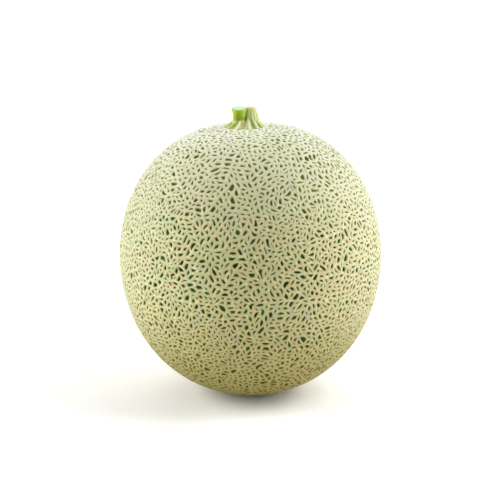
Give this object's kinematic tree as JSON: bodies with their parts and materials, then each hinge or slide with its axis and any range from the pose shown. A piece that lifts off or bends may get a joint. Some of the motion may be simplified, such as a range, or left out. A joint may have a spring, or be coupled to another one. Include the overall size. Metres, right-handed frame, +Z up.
{
  "type": "cantaloupe melon",
  "caption": "Round netted cantaloupe melon with a raised cork net over its rind and a short cut stub of ribbed stalk, standing on its blossom end.",
  "frame": {"origin": "on the ground, under the middle of the fruit, at the centre of the small flat spot on its blossom end", "axes": "+Z up, from the blossom end to the stalk; -Y is the front; the stalk's green peg stands towards -X and its pale lobe towards +X"},
  "size_m": [0.145, 0.145, 0.1608],
  "materials": {
    "rind": "matt cork net in pale cream-green over a dark green rind",
    "stalk": "satin fresh stalk, bright green at the cut peg and cream on the ribs"
  },
  "bodies": {
    "root": {"melon": "rind", "stem": "stalk"}
  },
  "joints": []
}
